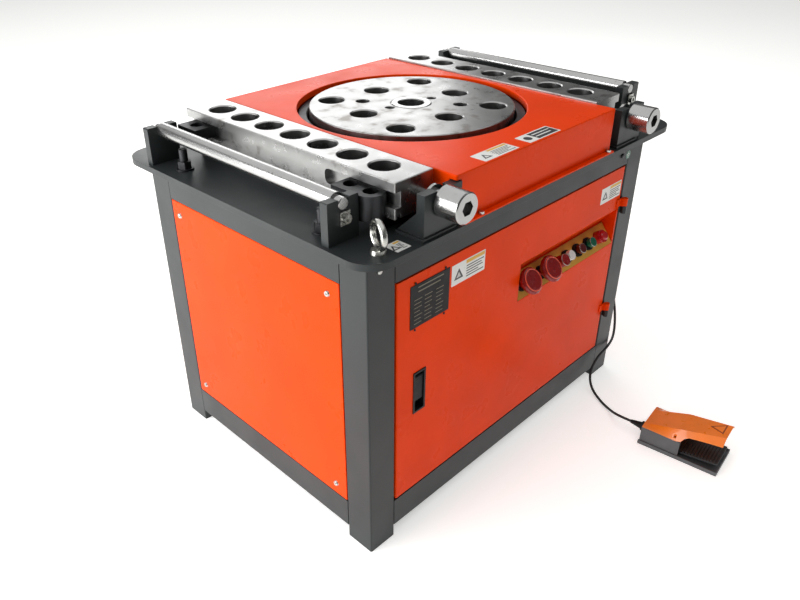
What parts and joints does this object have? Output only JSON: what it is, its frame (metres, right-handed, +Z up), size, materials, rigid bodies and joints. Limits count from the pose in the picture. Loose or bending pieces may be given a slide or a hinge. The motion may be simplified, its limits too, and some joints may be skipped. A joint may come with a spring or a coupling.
{
  "type": "rebar bender",
  "caption": "Workshop rebar bender: a geared steel disc with pin holes turns between two socket bars on a steel cabinet with a control door and a foot pedal.",
  "frame": {"origin": "on the floor, at the middle of the footprint that the table and the foot pedal cover together", "axes": "+X to the right of someone facing the control door, +Y from the door to the back, +Z up"},
  "size_m": [0.9445, 1.039, 0.6974],
  "materials": {
    "frame_grey": "satin dark grey enamel",
    "orange": "semi-gloss orange enamel",
    "yellow": "satin yellow enamel",
    "ground_steel": "surface-ground steel",
    "turned_steel": "turned steel",
    "zinc": "zinc-plated steel",
    "dark_steel": "oiled black steel",
    "casting": "painted iron casting",
    "bronze": "machined bronze",
    "black_plastic": "matt black plastic",
    "grey_plastic": "matt grey plastic",
    "orange_plastic": "semi-gloss orange plastic",
    "rubber": "ribbed black rubber",
    "belt": "fabric-faced rubber",
    "cord": "matt black cord jacket",
    "red_plastic": "gloss red plastic",
    "dark_red_plastic": "gloss dark red plastic",
    "green_plastic": "gloss green plastic",
    "white_plastic": "gloss white plastic",
    "lamp_lens": "red lens",
    "motor_grey": "satin grey enamel"
  },
  "bodies": {
    "cabinet": {"frame_legs": "frame_grey", "frame_rails": "frame_grey", "table_plate": "frame_grey", "floor_pan": "frame_grey", "left_panel": "orange", "right_panel": "orange", "back_panel": "orange", "panel_screws": "zinc", "bed_cover": "orange", "bed_cover_bolts": "zinc", "guard_ring": "dark_steel", "bar_rails": "dark_steel", "roller_brackets": "frame_grey", "roller_keepers": "zinc", "screw_brackets": "frame_grey", "table_studs": "dark_steel", "eye_bolt": "zinc", "upper_housing": "casting", "gear_case": "casting", "bearings": "turned_steel", "motor_body": "motor_grey", "motor_mount": "frame_grey", "drive_belts": "belt", "control_gear": "grey_plastic", "cable_glands": "black_plastic", "hinge_frame_leaves": "frame_grey", "pedal_base": "grey_plastic", "pedal_hood": "orange_plastic", "pedal_cord": "cord"},
    "disc": {"bending_disc": "ground_steel", "centre_bush": "ground_steel", "main_shaft": "turned_steel", "worm_wheel": "bronze"},
    "worm": {"worm_shaft": "turned_steel", "driven_pulley": "casting"},
    "rotor": {"motor_rotor": "turned_steel", "drive_pulley": "casting"},
    "bar_left": {"socket_bar_left": "ground_steel", "side_blocks_left": "dark_steel"},
    "bar_right": {"socket_bar_right": "ground_steel", "side_blocks_right": "dark_steel"},
    "screw_left": {"feed_screw_left": "turned_steel"},
    "screw_right": {"feed_screw_right": "turned_steel"},
    "roller_left": {"roller_left": "turned_steel"},
    "roller_right": {"roller_right": "turned_steel"},
    "door": {"door_skin": "orange", "control_plate": "yellow", "data_plate": "black_plastic", "latch_body": "black_plastic", "hinge_door_leaves": "orange", "contact_blocks": "black_plastic", "pilot_lamp": "lamp_lens"},
    "latch": {"latch_lever": "black_plastic"},
    "stop_left": {"estop_left": "red_plastic"},
    "stop_right": {"estop_right": "red_plastic"},
    "red_button": {"button_red": "red_plastic"},
    "white_button": {"button_white": "white_plastic"},
    "dark_red_button": {"button_dark_red": "dark_red_plastic"},
    "green_button": {"button_green": "green_plastic"},
    "treadle": {"pedal_treadle": "rubber"}
  },
  "joints": [
    {"name": "disc_spin", "type": "hinge", "parent": "cabinet", "child": "disc", "pos_m": [-0.032, 0.14, 0.65], "axis": [0, 0, 1], "continuous": true},
    {"name": "worm_spin", "type": "hinge", "parent": "cabinet", "child": "worm", "pos_m": [-0.032, 0.28, 0.42], "axis": [1, 0, 0], "continuous": true},
    {"name": "rotor_spin", "type": "hinge", "parent": "cabinet", "child": "rotor", "pos_m": [-0.032, 0.16, 0.155], "axis": [1, 0, 0], "continuous": true},
    {"name": "bar_left_slide", "type": "slide", "parent": "cabinet", "child": "bar_left", "axis": [0, 1, 0], "range_m": [-0.01, 0.01]},
    {"name": "bar_right_slide", "type": "slide", "parent": "cabinet", "child": "bar_right", "axis": [0, 1, 0], "range_m": [-0.01, 0.01]},
    {"name": "screw_left_turn", "type": "hinge", "parent": "cabinet", "child": "screw_left", "pos_m": [-0.297, -0.16, 0.665], "axis": [0, 1, 0], "range_deg": [-905, 905]},
    {"name": "screw_right_turn", "type": "hinge", "parent": "cabinet", "child": "screw_right", "pos_m": [0.27, -0.16, 0.665], "axis": [0, 1, 0], "range_deg": [-905, 905]},
    {"name": "roller_left_spin", "type": "hinge", "parent": "cabinet", "child": "roller_left", "pos_m": [-0.421, 0.175, 0.672], "axis": [0, 1, 0], "continuous": true},
    {"name": "roller_right_spin", "type": "hinge", "parent": "cabinet", "child": "roller_right", "pos_m": [0.423, 0.175, 0.672], "axis": [0, 1, 0], "continuous": true},
    {"name": "door_swing", "type": "hinge", "parent": "cabinet", "child": "door", "pos_m": [0.325, -0.16, 0.32], "axis": [0, 0, 1], "range_deg": [0, 105]},
    {"name": "latch_pull", "type": "hinge", "parent": "door", "child": "latch", "pos_m": [-0.3225, -0.148, 0.338], "axis": [-1, 0, 0], "range_deg": [0, 35], "stiffness_Nm_per_rad": 0.15},
    {"name": "stop_left_push", "type": "slide", "parent": "door", "child": "stop_left", "axis": [0, 0.7954, -0.606], "range_m": [0, 0.005], "stiffness_N_per_m": 300},
    {"name": "stop_right_push", "type": "slide", "parent": "door", "child": "stop_right", "axis": [0, 0.7954, -0.606], "range_m": [0, 0.005], "stiffness_N_per_m": 300},
    {"name": "red_push", "type": "slide", "parent": "door", "child": "red_button", "axis": [0, 0.7954, -0.606], "range_m": [0, 0.003], "stiffness_N_per_m": 300},
    {"name": "white_push", "type": "slide", "parent": "door", "child": "white_button", "axis": [0, 0.7954, -0.606], "range_m": [0, 0.003], "stiffness_N_per_m": 300},
    {"name": "dark_red_push", "type": "slide", "parent": "door", "child": "dark_red_button", "axis": [0, 0.7954, -0.606], "range_m": [0, 0.003], "stiffness_N_per_m": 300},
    {"name": "green_push", "type": "slide", "parent": "door", "child": "green_button", "axis": [0, 0.7954, -0.606], "range_m": [0, 0.003], "stiffness_N_per_m": 300},
    {"name": "treadle_press", "type": "hinge", "parent": "cabinet", "child": "treadle", "pos_m": [0.22556, -0.41859, 0.013], "axis": [0.9942, 0.108, 0], "range_deg": [0, 5.5], "stiffness_Nm_per_rad": 2}
  ],
  "couplings": [
    {"joint": "worm_spin", "follows": "disc_spin", "ratio": 60},
    {"joint": "rotor_spin", "follows": "disc_spin", "ratio": 153.75},
    {"joint": "screw_left_turn", "follows": "bar_left_slide", "rad_per_m": 1570.8},
    {"joint": "screw_right_turn", "follows": "bar_right_slide", "rad_per_m": 1570.8}
  ]
}
